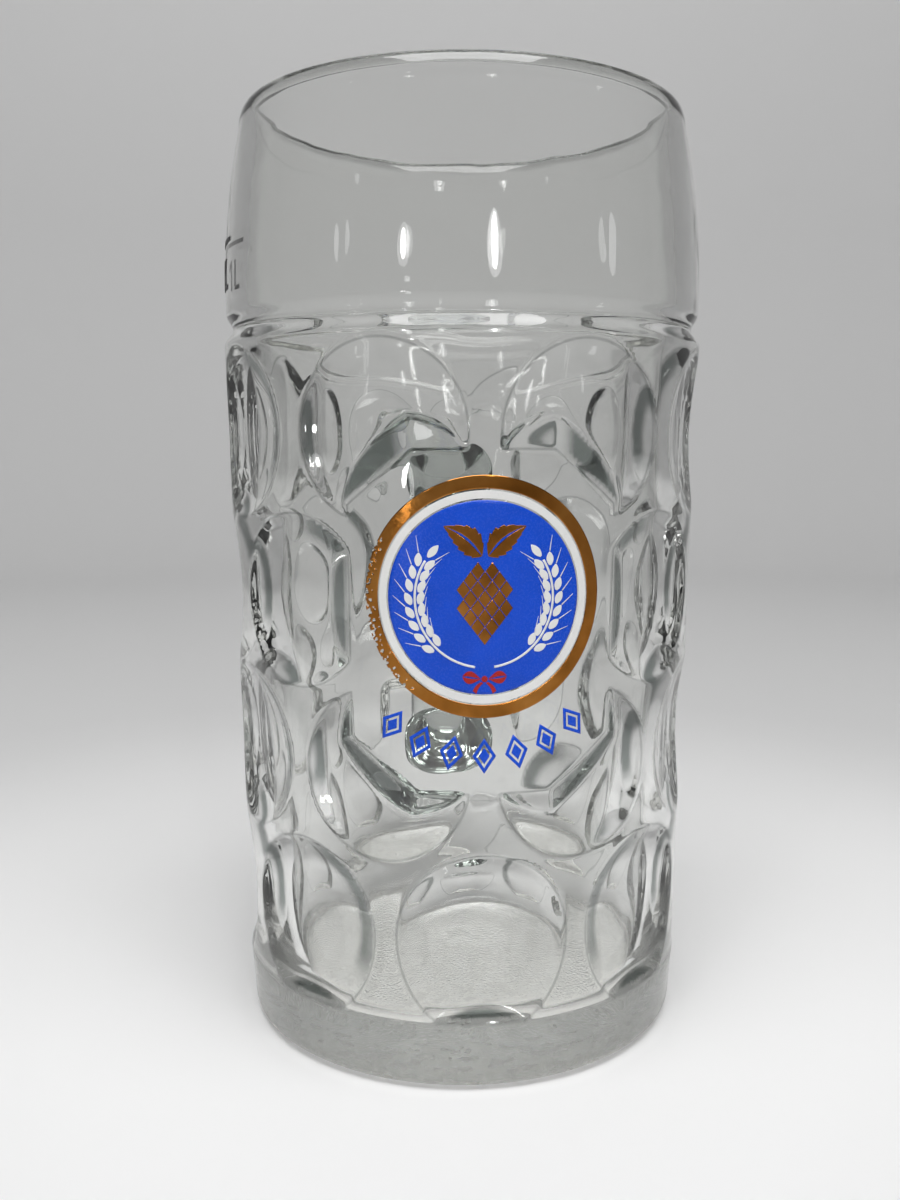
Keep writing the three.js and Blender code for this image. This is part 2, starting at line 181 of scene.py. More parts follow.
def newMaterial(name, sockets):
    material = bpy.data.materials.new(name)
    material.use_nodes = True
    nodes = material.node_tree.nodes
    shader = nodes["Principled BSDF"]
    for socket, value in sockets.items():
        shader.inputs[socket].default_value = value
    return material, nodes, material.node_tree.links, shader


def objectCoordinates(nodes):
    return nodes.new("ShaderNodeTexCoord").outputs["Object"]


def meshValue(nodes, name):
    node = nodes.new("ShaderNodeAttribute")
    node.attribute_name = name
    return node.outputs["Fac"]


def noise(nodes, links, vector, scale, detail=3.0, roughness=0.55):
    texture = nodes.new("ShaderNodeTexNoise")
    texture.inputs["Scale"].default_value = scale
    texture.inputs["Detail"].default_value = detail
    texture.inputs["Roughness"].default_value = roughness
    links.new(vector, texture.inputs["Vector"])
    return texture.outputs["Fac"]


def remap(nodes, links, value, fromLow, fromHigh, toLow, toHigh):
    node = nodes.new("ShaderNodeMapRange")
    node.interpolation_type = "SMOOTHSTEP"
    node.inputs["From Min"].default_value = fromLow
    node.inputs["From Max"].default_value = fromHigh
    node.inputs["To Min"].default_value = toLow
    node.inputs["To Max"].default_value = toHigh
    links.new(value, node.inputs["Value"])
    return node.outputs["Result"]


def maths(nodes, links, operation, first, second):
    node = nodes.new("ShaderNodeMath")
    node.operation = operation
    for socket, value in ((node.inputs[0], first), (node.inputs[1], second)):
        if isinstance(value, (int, float)):
            socket.default_value = value
        else:
            links.new(value, socket)
    return node.outputs["Value"]


def colourRamp(nodes, links, value, stops):
    ramp = nodes.new("ShaderNodeValToRGB")
    elements = ramp.color_ramp.elements
    while len(elements) < len(stops):
        elements.new(0.5)
    for element, (place, colour) in zip(elements, stops):
        element.position = place
        element.color = (*colour, 1)
    links.new(value, ramp.inputs["Fac"])
    return ramp.outputs["Color"]


def bump(nodes, links, height, strength, distance):
    node = nodes.new("ShaderNodeBump")
    node.inputs["Strength"].default_value = strength
    node.inputs["Distance"].default_value = distance
    links.new(height, node.inputs["Height"])
    return node.outputs["Normal"]


# Glass: clear and faintly green-grey, drawn a little wavy, scuffed and stippled round the heel
glassFinish = {
    "tint": (0.938, 0.942, 0.932),
    "ior": 1.5,
    "absorb": (0.815, 0.828, 0.795),
    "density": 8.0,
    "handleShadeTint": (0.88, 0.89, 0.88),
    "handleAbsorb": (0.808, 0.828, 0.817),
    "handleShadeDensity": 38.0,  # painted shade: the handle is tinted and absorbs more than the body, reading darker as thicker glass
    "facetShadeTint": (0.082, 0.099, 0.092),  # painted shade: the cut facets are tinted dark, as thick glass looks edge on
    "crescentShade": 1.0,  # share of that painted shade on the steep-looking sides of the bowls
    "lipShade": 0.4,  # and of painted shade on the crest of the lip
    "lipFrom": 2.2,  # where that starts below the rim
    "lipFade": 1.2,
    "rimShadeLine": 0.42,  # half width in mm of the painted shade line round each pressing
    "rimShadeCore": 0.08,  # half width of its darkest part
    "rimShade": 0.55,
    "waveScale": 70.0,
    "waveStrength": 0.05,
    "waveDepth": 0.002,
    "stippleScale": 1500.0,
    "stippleStrength": 0.6,
    "stippleDepth": 0.0003,
    "heelTop": 0.009,  # the wear of the heel ends at this height, in metres
    "scuffScale": 240.0,
    "scuff": 0.33,  # roughness where the heel is worn
    "scuffGlintTint": (0.975, 0.955, 0.885),  # and a faint painted warm glint on the worn patches
    "glintShare": 0.6,
}


# The body's glass also has painted shade on the facets, bowls and lip, painted dark lines round
# the pressings, and the worn heel with a painted warm glint
def glassMaterial(name, isBody):
    finish = glassFinish
    material, nodes, links, shader = newMaterial(name, {
        # painted shade: the handle's colour is darker than the body's
        "Base Color": (*finish["tint" if isBody else "handleShadeTint"], 1),
        "Transmission Weight": 1.0,
        "IOR": finish["ior"],
        "Roughness": 0.0,
    })
    place = objectCoordinates(nodes)
    wave = noise(nodes, links, place, finish["waveScale"], 1.5)
    normal = bump(nodes, links, wave, finish["waveStrength"], finish["waveDepth"])
    if isBody:
        # Painted shade: a dark line round each pressing, darkest at its edge
        away = maths(nodes, links, "ABSOLUTE", meshValue(nodes, "edge"), 0.0)
        line = remap(
            nodes, links, away, finish["rimShadeCore"], finish["rimShadeLine"], finish["rimShade"], 0.0)
        # painted shade: the facet value darkens the glass's colour towards the facet tint
        dark = maths(nodes, links, "MAXIMUM", meshValue(nodes, "facet"), line)
        shade = colourRamp(nodes, links, dark, [(0.0, finish["tint"]), (1.0, finish["facetShadeTint"])])
        split = nodes.new("ShaderNodeSeparateXYZ")
        links.new(place, split.inputs["Vector"])
        low = remap(nodes, links, split.outputs["Z"], 0.0, finish["heelTop"], 1.0, 0.0)
        grain = noise(nodes, links, place, finish["stippleScale"], 2.0)
        grit = nodes.new("ShaderNodeBump")
        grit.inputs["Distance"].default_value = finish["stippleDepth"]
        strength = maths(nodes, links, "MULTIPLY", low, finish["stippleStrength"])
        links.new(strength, grit.inputs["Strength"])
        links.new(grain, grit.inputs["Height"])
        links.new(normal, grit.inputs["Normal"])
        normal = grit.outputs["Normal"]
        blotch = noise(nodes, links, place, finish["scuffScale"])
        patchy = remap(nodes, links, blotch, 0.35, 0.7, 0.55, 1.0)
        worn = maths(nodes, links, "MULTIPLY", low, patchy)
        # Painted warm glint on the heel's worn patches, which are also rougher
        glintMix = nodes.new("ShaderNodeMix")
        glintMix.data_type = "RGBA"
        glintCast = maths(nodes, links, "MULTIPLY", worn, finish["glintShare"])
        links.new(glintCast, glintMix.inputs["Factor"])
        links.new(shade, glintMix.inputs["A"])
        glintMix.inputs["B"].default_value = (*finish["scuffGlintTint"], 1)
        links.new(glintMix.outputs["Result"], shader.inputs["Base Color"])
        rough = maths(nodes, links, "MULTIPLY", worn, finish["scuff"])
        links.new(rough, shader.inputs["Roughness"])
    links.new(normal, shader.inputs["Normal"])
    volume = nodes.new("ShaderNodeVolumeAbsorption")
    # painted shade: the handle absorbs more than the body
    volume.inputs["Color"].default_value = (*finish["absorb" if isBody else "handleAbsorb"], 1)
    volume.inputs["Density"].default_value = finish["density" if isBody else "handleShadeDensity"]
    links.new(volume.outputs["Volume"], nodes["Material Output"].inputs["Volume"])
    return material


# Pressed body
body = {
    "height": bodyHigh.z / mm,
    "shoulderRadius": bodyHigh.x / mm,
    "footRadius": 49.5,
    "footHeight": 13.6,
    "footLedge": 0.2,  # the foot stands proud of the wall by this much
    "ledgeFade": 1.0,
    "ledgeRows": 6.0,  # height of the closer rows above the foot
    "heelInset": 0.6,
    "heelRound": 3.0,
    "puntDepth": 1.1,  # hollow of the underside
    "puntRadius": 40.0,
    "bandHeight": 46.2,
    "grooveDepth": 1.6,
    "grooveHalfWidth": 3.4,
    "bandRadius": 51.9,
    "bandBellyRise": 8.0,
    "bandDrawIn": 3.6,
    "lipThickness": 4.4,
    "lipHeight": 4.6,
    "wall": 6.6,
    "bandWall": 5.0,
    "floor": 10.2,
    "floorRound": 6.2,
    "columns": 384,
    "waviness": 0.03,
    "innerWaviness": 0.07,
    "wallFade": 1.5,  # the waves die away over this much at the ends of the pressed wall,
    "bandFade": 10.0,  # of the band
    "innerFade": 12.0,  # and of the inside
}
body["grooveHeight"] = body["height"] - body["bandHeight"]
body["shoulderHeight"] = body["grooveHeight"] - body["grooveHalfWidth"]
body["bandStart"] = body["grooveHeight"] + body["grooveHalfWidth"]
body["bandBelly"] = body["grooveHeight"] + body["bandBellyRise"]
body["lipStart"] = body["height"] - body["lipHeight"]

# Eyes: round bowls pressed into the wall in staggered rows
eyes = {
    "rows": 4,
    "perRow": 8,
    "radius": 17.3,
    "depth": 3.6,
    "flatness": 3.0,  # power of the bowl, 2 is a plain lens
    "margin": 1.2,
    "footReach": 20.5,  # the lowest row is drawn out downwards to this
    "footLine": 1.0,  # and cut off by a facet this far above the foot
    "footSlope": 0.75,
    "rimRound": 0.15,
    "innerShare": 0.1,  # how much of the press shows on the inside
}
eyes["lowest"] = body["footHeight"] + eyes["margin"] + eyes["radius"]
eyes["highest"] = body["shoulderHeight"] - eyes["margin"] - eyes["radius"]
eyes["pitch"] = (eyes["highest"] - eyes["lowest"]) / (eyes["rows"] - 1)

# Plain panel for the print, a flattened hexagon, and the place of the emblem on it
emblemMiddle = (emblemLow.z + emblemHigh.z) / 2 / mm
emblemRadius = (emblemHigh.z - emblemLow.z) / 2 / mm
panel = {
    "middle": 94.8,
    "halfWidth": 26.6,
    "halfHeight": 32.9,
    "lean": 38.0,  # of the four slanting edges
    "slantReach": 34.1,  # their distance from the middle
    "slope": 0.52,  # of the facets that cut the eyes off along its edges
    "round": 0.3,
}

# Plain pads under the handle's roots
pads = {
    "heights": (120.4, 47.6),
    "halfWidth": 18.0,
    "halfHeight": 14.5,
    "fade": 5.0,
}

# Where painted shade darkens the glass
paintedShade = {
    "facetFrom": 0.3,  # depth of a facet at which it starts
    "facetFade": 0.5,
    "footFade": 5.0,
    "levelFrom": 0.5,  # facets along the panel's level edges stay clear
    "levelFade": 2.5,
    "crescentLean": 25.0,  # degrees up of the way that a bowl's steep side faces
    "crescentWidth": 5.4,  # how far that side reaches in from the rim
    "crescentFade": 2.4,
    "crescentEdge": 0.4,
    "facingFrom": 0.3,  # cosine of the turn from that way
    "facingFade": 0.45,
    "sideFrom": 0.3,  # sine of the azimuth: none at the mug's front and back
    "sideFade": 0.2,
    "edgeReach": 5.0,  # edges are measured out to here
}


# Wall radius before anything is pressed in: a straight taper from foot to shoulder
def landRadius(z):
    share = (z - body["footHeight"]) / (body["shoulderHeight"] - body["footHeight"])
    return mix(body["footRadius"], body["shoulderRadius"], share)


# Drinking band: a parabola about its widest height
def bandRadiusAt(z):
    lean = (z - body["bandBelly"]) / (body["lipStart"] - body["bandBelly"])
    return body["bandRadius"] - body["bandDrawIn"] * lean * lean


# How far a point lies inside the rim of the nearest eye, negative on the land between eyes,
# and its offset across and up from that eye's middle. Each row stands half a pitch round.
def nearestEye(azimuth, z):
    pitch = 2 * np.pi / eyes["perRow"]
    shape = np.broadcast(azimuth, z).shape
    inside, across, up = np.full(shape, -1000.0), np.zeros(shape), np.zeros(shape)
    for row in range(eyes["rows"]):
        turned = azimuth - (row % 2) * pitch / 2
        beside = (turned - np.round(turned / pitch) * pitch) * landRadius(z)
        above = z - eyes["lowest"] - row * eyes["pitch"]
        reach = np.where((row == 0) & (above < 0), eyes["footReach"], eyes["radius"])
        depth = eyes["radius"] * (1 - np.hypot(beside / eyes["radius"], above / reach))
        nearer = depth > inside
        inside = np.where(nearer, depth, inside)
        across = np.where(nearer, beside, across)
        up = np.where(nearer, above, up)
    return inside, across, up


# Distances outside the print panel's edges, negative on it: the nearer of its upright and
# slanting edges, then its level ones
def outsidePanel(azimuth, z):
    lean = math.radians(panel["lean"])
    across = np.abs(azimuth) * landRadius(panel["middle"])
    up = np.abs(z - panel["middle"])
    slant = across * math.sin(lean) + up * math.cos(lean) - panel["slantReach"]
    return np.maximum(across - panel["halfWidth"], slant), up - panel["halfHeight"]


# 0 on the plain pads under the handle's roots, 1 away from them
def padOpenness(azimuth, z):
    across = (np.pi - np.abs(azimuth)) * landRadius(z)
    openness = np.ones(np.broadcast(azimuth, z).shape)
    for height in pads["heights"]:
        beside = np.maximum(0, across - pads["halfWidth"])
        above = np.maximum(0, np.abs(z - height) - pads["halfHeight"])
        openness = np.minimum(openness, smoothStep(np.hypot(beside, above) / pads["fade"]))
    return openness


# Depth of each eye's bowl: one less a power of the distance from its middle
def bowlDepth(azimuth, z):
    share = 1 - softPositive(nearestEye(azimuth, z)[0], eyes["rimRound"]) / eyes["radius"]
    return eyes["depth"] * (1 - np.clip(share, 0, 1) ** eyes["flatness"])


# Depth of the facets, planes that rise to the print panel's edges and to the foot
def facetDepth(azimuth, z):
    beside = panel["slope"] * np.maximum(*outsidePanel(azimuth, z))
    above = eyes["footSlope"] * (z - body["footHeight"] - eyes["footLine"])
    return softPositive(np.minimum(beside, above), panel["round"])


# The shallower of bowl and facet, rounded where they meet, and nothing on the handle's pads
def pressedDepth(azimuth, z):
    facet = facetDepth(azimuth, z)
    depth = facet - softPositive(facet - bowlDepth(azimuth, z), panel["round"])
    return np.maximum(0, depth) * padOpenness(azimuth, z)


# Share of painted shade on the facets: 1 where an upright or slanting facet or one at the foot is
# the surface, 0 elsewhere
def facetShadeShare(azimuth, z):
    facet = facetDepth(azimuth, z)
    beside, level = outsidePanel(azimuth, z)
    share = smoothStep((bowlDepth(azimuth, z) - facet) / paintedShade["facetFade"])
    share = share * smoothStep((facet - paintedShade["facetFrom"]) / paintedShade["facetFade"])
    atFoot = smoothStep((eyes["lowest"] - z) / paintedShade["footFade"])
    upright = smoothStep((beside - level - paintedShade["levelFrom"]) / paintedShade["levelFade"])
    return share * np.maximum(atFoot, upright)


# Painted shade: 1 on the side of each bowl that faces towards the mug's front or back and a
# little up, where the bowl looks steepest and reads as a dark crescent; 0 elsewhere
def crescentShare(azimuth, z):
    inside, across, up = nearestEye(azimuth, z)
    inwards = -across * np.sign(np.sin(azimuth) * np.cos(azimuth))
    lean = math.radians(paintedShade["crescentLean"])
    towards = inwards * math.cos(lean) + up * math.sin(lean)
    cosine = towards / np.maximum(np.hypot(across, up), 1)
    facing = smoothStep((cosine - paintedShade["facingFrom"]) / paintedShade["facingFade"])
    facing *= smoothStep((np.abs(np.sin(azimuth)) - paintedShade["sideFrom"]) / paintedShade["sideFade"])
    strip = smoothStep(inside / paintedShade["crescentEdge"])
    strip = strip * smoothStep((paintedShade["crescentWidth"] - inside) / paintedShade["crescentFade"])
    bowl = smoothStep((facetDepth(azimuth, z) - bowlDepth(azimuth, z)) / paintedShade["crescentEdge"])
    return facing * strip * bowl * padOpenness(azimuth, z)


# Distance from the nearest edge of a pressing, positive inside it
def edgeDistance(azimuth, z):
    reach = paintedShade["edgeReach"]
    above = z - body["footHeight"] - eyes["footLine"]
    edge = np.minimum(nearestEye(azimuth, z)[0], np.maximum(*outsidePanel(azimuth, z)))
    edge = np.clip(np.minimum(edge, above), -reach, reach)
    return mix(-reach, edge, padOpenness(azimuth, z))


# Slow waves left by the mould and the blow: a few sines round and up the wall
def ripple(azimuth, z, phase):
    return (
        np.sin(3 * azimuth + 0.045 * z + phase)
        + 0.7 * np.sin(5 * azimuth - 0.07 * z + 2.1 * phase)
        + 0.5 * np.sin(8 * azimuth + 0.11 * z + 3.7 * phase)
        + 0.3 * np.sin(13 * azimuth - 0.16 * z + 5.3 * phase)
    )


# Points along each stretch of the half profile
stretch = {
    "underside": 7, "heel": 7, "foot": 5, "ledge": 13, "wall": 158, "groove": 14, "band": 9,
    "lip": 14, "throat": 7, "neck": 5, "inside": 12, "corner": 8, "floor": 5,
}


# Half profile as radius, height and kind: 0 plain, 1 pressed wall, 2 band, 3 inside.
# It runs from the underside's middle up the outside, over the lip and down the inside.
def bodyProfile():
    parts = []

    def add(radius, z, kind):
        parts.append(np.stack(np.broadcast_arrays(radius, z, float(kind)), axis=-1))

    heelRadius = body["footRadius"] - body["heelInset"]
    flat = np.linspace(0, heelRadius - body["heelRound"], stretch["underside"])[1:-1]
    hollow = body["puntDepth"] * np.maximum(0, 1 - (flat / body["puntRadius"]) ** 2)
    add(flat, hollow, 0)
    turn = np.linspace(0, np.pi / 2, stretch["heel"])
    add(
        heelRadius - body["heelRound"] * (1 - np.sin(turn)),
        body["heelRound"] * (1 - np.cos(turn)),
        0,
    )
    share = np.linspace(0, 1, stretch["foot"])[1:-1]
    footTop = body["footRadius"] + body["footLedge"]
    add(mix(heelRadius, footTop, share), mix(body["heelRound"], body["footHeight"], share), 0)
    ledgeTop = body["footHeight"] + body["ledgeRows"]
    low = np.linspace(body["footHeight"], ledgeTop, stretch["ledge"])
    high = np.linspace(ledgeTop, body["shoulderHeight"], stretch["wall"])[1:]
    z = np.concatenate([low, high])
    ledge = body["footLedge"] * (1 - smoothStep((z - body["footHeight"]) / body["ledgeFade"]))
    add(landRadius(z) + ledge, z, 1)
    share = np.linspace(-1, 1, stretch["groove"])[1:-1]
    wall = mix(body["shoulderRadius"], bandRadiusAt(body["bandStart"]), (share + 1) / 2)
    add(
        wall - body["grooveDepth"] * (1 + np.cos(share * np.pi)) / 2,
        body["grooveHeight"] + share * body["grooveHalfWidth"],
        0,
    )
    z = np.linspace(body["bandStart"], body["lipStart"], stretch["band"])[:-1]
    add(bandRadiusAt(z), z, 2)
    lipOutside = bandRadiusAt(body["lipStart"])
    half = body["lipThickness"] / 2
    turn = np.linspace(0, np.pi, stretch["lip"])
    add(
        lipOutside - half + half * np.cos(turn),
        body["lipStart"] + body["lipHeight"] * np.sin(turn),
        0,
    )
    share = np.linspace(0, 1, stretch["throat"])[1:]
    lipInside = lipOutside - body["lipThickness"]
    bellyInside = body["bandRadius"] - body["bandWall"]
    add(
        mix(lipInside, bellyInside, np.sin(share * np.pi / 2)),
        mix(body["lipStart"], body["bandBelly"], share),
        3,
    )
    neck = np.linspace(0, 1, stretch["neck"])[1:]
    shoulderInside = body["shoulderRadius"] - body["wall"]
    add(
        mix(bellyInside, shoulderInside, smoothStep(neck)),
        mix(body["bandBelly"], body["shoulderHeight"], neck),
        3,
    )
    cornerTop = body["floor"] + body["floorRound"]
    z = np.linspace(body["shoulderHeight"], cornerTop, stretch["inside"])[1:]
    add(landRadius(z) - body["wall"], z, 3)
    turn = np.linspace(0, np.pi / 2, stretch["corner"])[1:]
    cornerRadius = landRadius(cornerTop) - body["wall"]
    add(
        cornerRadius - body["floorRound"] * (1 - np.cos(turn)),
        cornerTop - body["floorRound"] * np.sin(turn),
        0,
    )
    flat = np.linspace(cornerRadius - body["floorRound"], 0, stretch["floor"])[1:-1]
    add(flat, np.full(flat.shape, body["floor"]), 0)
    return np.concatenate(parts)


# The profile turned round the axis, with each row's radius changed by what is pressed there
def makeBody():
    profile = bodyProfile()
    rows, columns = len(profile), body["columns"]
    azimuth = np.linspace(-np.pi, np.pi, columns, endpoint=False)[None, :]
    radius, z, kind = (profile[:, k][:, None] for k in range(3))
    pressed = pressedDepth(azimuth, z)
    inside = radius - eyes["innerShare"] * pressed + body["innerWaviness"] * ripple(azimuth, z, 1.3)
    outside = radius - pressed + body["waviness"] * ripple(azimuth, z, 0.4)
    band = radius + body["waviness"] * ripple(azimuth, z, 2.2)

    def within(low, high, fade):
        return smoothStep(np.minimum(z - body[low], body[high] - z) / body[fade])

    inside = mix(radius, inside, within("floor", "shoulderHeight", "innerFade"))
    band = mix(radius, band, within("bandStart", "lipStart", "bandFade"))
    outside = mix(radius - pressed, outside, within("footHeight", "shoulderHeight", "wallFade"))
    wall = np.choose(np.broadcast_to(kind, pressed.shape).astype(int), [
        np.broadcast_to(radius, pressed.shape), outside, band, inside,
    ])
    points = np.stack([
        wall * np.sin(azimuth),
        -wall * np.cos(azimuth),
        np.broadcast_to(z, wall.shape),
    ], axis=-1).reshape(-1, 3)
    poles = np.array([[0, 0, body["puntDepth"]], [0, 0, body["floor"]]])
    piece = addMesh("PressedBody", np.concatenate([points, poles]), tubeFaces(rows, columns))
    x, y, height = meshPoints(piece).T
    onWall = np.hypot(x, y) > landRadius(height) - eyes["depth"] - 1  # 1 mm below any bowl
    onWall &= (height > body["footHeight"]) & (height < body["shoulderHeight"])
    azimuth = np.arctan2(x, -y)
    # painted shade: dark crescents on the steep-looking sides of the bowls
    crescent = glassFinish["crescentShade"] * crescentShare(azimuth, height)
    # Painted shade: the facet value tints the glass dark on the facets and in the bowls' crescents
    facet = np.maximum(facetShadeShare(azimuth, height), crescent) * onWall
    # Painted shade: a dark band along the crest of the lip
    overLip = height - body["height"] + glassFinish["lipFrom"]
    facet += glassFinish["lipShade"] * smoothStep(overLip / glassFinish["lipFade"])
    # where each pressing's edge lies, for its painted shade line
    edge = np.where(onWall, edgeDistance(azimuth, height), -paintedShade["edgeReach"])
    storeValues(piece, facet=facet, edge=edge)
    return settle(piece, glassMaterial("clearGlassBody", True), "glass_body")


pressedBody = makeBody()
print("body:", len(pressedBody.data.polygons), "faces")


# Handle
handle = {
    "reach": 54.0,
    "corner": 26.0,
    "lean": 7.0,
    "rise": 10.0,
    "drop": 7.0,
    "width": 21.0,
    "thickness": 14.0,
    "flare": 5.0,
    "flareLength": 9.0,
    "squareness": 2.5,
    "embed": 0.2,  # the roots end this far inside the wall, where the glass has run together
    "stations": 150,
    "sides": 56,
    "capRings": 9,
    "cornerSteps": 200,
    "sharpAngle": 50,
}


# Middle line in the YZ plane: straight, rounded corner, grip, rounded corner, straight.
# Each corner is a quadratic curve that starts and ends a set length from the corner point.
def handlePath():
    upper, lower = pads["heights"]
    seat = landRadius(upper)
    gripY = seat + handle["reach"] - handle["thickness"] / 2
    rootY = seat - body["wall"] / 2
    stops = np.array([
        [rootY, upper],
        [gripY, upper + handle["rise"]],
        [gripY - handle["lean"], lower - handle["drop"]],
        [rootY, lower],
    ])
    share = np.linspace(0, 1, handle["cornerSteps"])[:, None]
    line = [stops[:1]]
    for at in (1, 2):
        back = stops[at - 1] - stops[at]
        ahead = stops[at + 1] - stops[at]
        start = stops[at] + back / np.linalg.norm(back) * handle["corner"]
        end = stops[at] + ahead / np.linalg.norm(ahead) * handle["corner"]
        line.append(
            (1 - share) ** 2 * start + 2 * share * (1 - share) * stops[at] + share ** 2 * end)
    line.append(stops[3:])
    line = np.concatenate(line)
    along = np.concatenate([[0], np.cumsum(np.linalg.norm(np.diff(line, axis=0), axis=1))])
    even = np.linspace(0, along[-1], handle["stations"])
    return np.stack([np.interp(even, along, line[:, k]) for k in range(2)], axis=-1), even


# Superellipse section carried along the middle line, swelling exponentially at the roots.
# Each lengthwise line is cut where it enters the wall, and the ends are closed on the wall.
def makeHandle():
    centre, even = handlePath()
    tangent = np.gradient(centre, axis=0)
    tangent /= np.linalg.norm(tangent, axis=1, keepdims=True)
    fromRoot = np.minimum(even, even[-1] - even)
    flare = handle["flare"] * np.exp(-fromRoot / handle["flareLength"])[:, None]
    turn = np.linspace(0, 2 * np.pi, handle["sides"], endpoint=False)[None, :]
    power = 2 / handle["squareness"]
    across = (handle["width"] + flare) / 2 * np.sign(np.cos(turn)) * np.abs(np.cos(turn)) ** power
    deep = (handle["thickness"] + flare) / 2 * np.sign(np.sin(turn)) * np.abs(np.sin(turn)) ** power
    points = np.stack([
        across,
        centre[:, :1] + tangent[:, 1:] * deep,
        centre[:, 1:] - tangent[:, :1] * deep,
    ], axis=-1)
    clear = np.hypot(points[..., 0], points[..., 1]) - landRadius(points[..., 2]) + handle["embed"]
    columns = np.arange(handle["sides"])

    def crossing(outside):
        after = np.argmax(outside > 0, axis=0)
        low, high = outside[after - 1, columns], outside[after, columns]
        return after - 1 - low / (high - low)

    last = handle["stations"] - 1
    first, end = crossing(clear), last - crossing(clear[::-1])
    place = first + (end - first) * np.linspace(0, 1, handle["stations"])[:, None]
    whole = np.clip(np.floor(place).astype(int), 0, last - 1)
    part = (place - whole)[..., None]
    points = mix(points[whole, columns], points[whole + 1, columns], part)

    def cap(edge):
        azimuth = np.arctan2(edge[:, 0], edge[:, 1])
        middle = edge[:, 2].mean()
        share = np.linspace(0, 1, handle["capRings"] + 1)[1:-1][:, None]
        z = middle + (edge[:, 2] - middle) * share
        radius = landRadius(z) - handle["embed"]
        turned = azimuth * share
        rings = np.stack([radius * np.sin(turned), radius * np.cos(turned), z], axis=-1)
        return rings, [0, landRadius(middle) - handle["embed"], middle]

    startRings, startPole = cap(points[0])
    endRings, endPole = cap(points[-1])
    grid = np.concatenate([startRings, points, endRings[::-1]])
    allPoints = np.concatenate([grid.reshape(-1, 3), [startPole, endPole]])
    piece = addMesh("FusedHandle", allPoints, tubeFaces(*grid.shape[:2]), handle["sharpAngle"])
    return settle(piece, glassMaterial("clearGlassHandle", False), "handle")


fusedHandle = makeHandle()
print("handle:", len(fusedHandle.data.polygons), "faces")


# Fired colours

# Each layer's top above the glass and its thickness: the first colours, and those printed over them
inks = {
    "base": (0.1, 0.12),
    "motif": (0.17, 0.06),
}


goldFinish = {
    "stops": [
        (0.25, (0.20, 0.075, 0.012)),
        (0.50, (0.36, 0.14, 0.026)),
        (0.80, (0.52, 0.24, 0.06)),
    ],
    "patchScale": 110.0,
    "fineScale": 1800.0,
    "roughness": (0.07, 0.17),
    "dentStrength": 0.03,
    "dentDepth": 0.0004,
}


# Fired gold, its colour darker and brighter in broad random patches: painted reflections of dark
# and bright surroundings. Its roughness varies finely and its face is dented a little.
def goldMaterial():
    finish = goldFinish
    material, nodes, links, shader = newMaterial("firedGold", {"Metallic": 1.0})
    place = objectCoordinates(nodes)
    # painted reflections: broad patches of dark and bright colour
    patches = noise(nodes, links, place, finish["patchScale"], 3.0, 0.5)
    links.new(colourRamp(nodes, links, patches, finish["stops"]), shader.inputs["Base Color"])
    fine = noise(nodes, links, place, finish["fineScale"], 2.0)
    rough = remap(nodes, links, fine, 0.3, 0.7, *finish["roughness"])
    links.new(rough, shader.inputs["Roughness"])
    dents = bump(nodes, links, patches, finish["dentStrength"], finish["dentDepth"])
    links.new(dents, shader.inputs["Normal"])
    return material


enamelFinish = {
    "ior": 1.5,
    "specular": 0.3,
    "cloudScale": 150.0,
    "grainScale": 2600.0,
    "grainStrength": 0.12,
    "grainDepth": 0.0002,
    "smoother": 0.08,  # the grain makes it this much smoother
    "rougher": 0.12,  # or rougher
}


# Fired enamel: a flat colour that varies a little in strength, with a fine printed grain
def enamelMaterial(name, colour, spread, rough):
    finish = enamelFinish
    material, nodes, links, shader = newMaterial(name, {
        "IOR": finish["ior"],
        "Specular IOR Level": finish["specular"],
    })
    place = objectCoordinates(nodes)
    cloud = noise(nodes, links, place, finish["cloudScale"], 4.0)
    dark = tuple(c * (1 - spread) for c in colour)
    light = tuple(min(1, c * (1 + spread)) for c in colour)
    links.new(
        colourRamp(nodes, links, cloud, [(0.25, dark), (0.5, colour), (0.8, light)]),
        shader.inputs["Base Color"],
    )
    grain = noise(nodes, links, place, finish["grainScale"], 2.0)
    uneven = remap(
        nodes, links, grain, 0.3, 0.75, rough - finish["smoother"], rough + finish["rougher"])
    links.new(uneven, shader.inputs["Roughness"])
    printed = bump(nodes, links, grain, finish["grainStrength"], finish["grainDepth"])
    links.new(printed, shader.inputs["Normal"])
    return material


# Each colour with the record's slot that it goes to
firedGold = goldMaterial(), "gold_print"
whiteEnamel = enamelMaterial("whiteEnamel", (0.80, 0.80, 0.79), 0.05, 0.34), "white_print"
blueEnamel = enamelMaterial("blueEnamel", (0.004, 0.070, 0.60), 0.10, 0.24), "blue_print"
redEnamel = enamelMaterial("redEnamel", (0.42, 0.016, 0.012), 0.12, 0.32), "red_print"
blackEnamel = enamelMaterial("blackEnamel", (0.012, 0.012, 0.013), 0.15, 0.38), "black_print"

printSeat = {"azimuth": 0.0, "height": emblemMiddle, "radius": landRadius}


